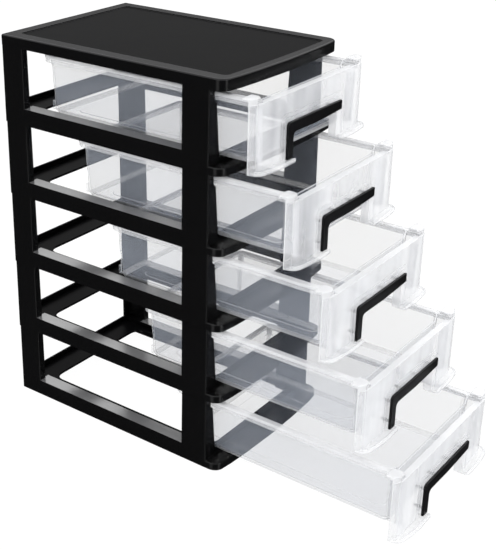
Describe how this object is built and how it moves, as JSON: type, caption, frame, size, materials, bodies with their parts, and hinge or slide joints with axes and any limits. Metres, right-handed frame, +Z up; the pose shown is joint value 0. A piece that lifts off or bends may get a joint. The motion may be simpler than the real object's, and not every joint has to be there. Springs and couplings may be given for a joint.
{
  "type": "drawer tower",
  "caption": "Desktop tower of stacked open frames with a flat top and clear pull-out drawers that stand out in steps, each with a dark handle trim.",
  "frame": {"origin": "on the floor, midway between the side walls, and midway between the back face and the corners of the front lips", "axes": "+X to the right for someone facing the drawers, -Y out of the drawer fronts, +Z up"},
  "size_m": [0.1676, 0.4206, 0.355],
  "materials": {
    "frame_black": "satin black moulded plastic",
    "clear_plastic": "clear, slightly milky moulded plastic",
    "trim_black": "satin black"
  },
  "bodies": {
    "frame": {"top_cover": "frame_black", "tier_frame_1": "frame_black", "tier_frame_2": "frame_black", "tier_frame_3": "frame_black", "tier_frame_4": "frame_black", "tier_frame_5": "frame_black"},
    "drawer_1": {"drawer_tray_1": "clear_plastic", "drawer_front_1": "clear_plastic", "handle_trim_1": "trim_black"},
    "drawer_2": {"drawer_tray_2": "clear_plastic", "drawer_front_2": "clear_plastic", "handle_trim_2": "trim_black"},
    "drawer_3": {"drawer_tray_3": "clear_plastic", "drawer_front_3": "clear_plastic", "handle_trim_3": "trim_black"},
    "drawer_4": {"drawer_tray_4": "clear_plastic", "drawer_front_4": "clear_plastic", "handle_trim_4": "trim_black"},
    "drawer_5": {"drawer_tray_5": "clear_plastic", "drawer_front_5": "clear_plastic", "handle_trim_5": "trim_black"}
  },
  "joints": [
    {"name": "drawer_1_slide", "type": "slide", "parent": "frame", "child": "drawer_1", "axis": [0, -1, 0], "range_m": [-0.029, 0.149]},
    {"name": "drawer_2_slide", "type": "slide", "parent": "frame", "child": "drawer_2", "axis": [0, -1, 0], "range_m": [-0.065, 0.113]},
    {"name": "drawer_3_slide", "type": "slide", "parent": "frame", "child": "drawer_3", "axis": [0, -1, 0], "range_m": [-0.101, 0.077]},
    {"name": "drawer_4_slide", "type": "slide", "parent": "frame", "child": "drawer_4", "axis": [0, -1, 0], "range_m": [-0.137, 0.041]},
    {"name": "drawer_5_slide", "type": "slide", "parent": "frame", "child": "drawer_5", "axis": [0, -1, 0], "range_m": [-0.173, 0.005]}
  ]
}
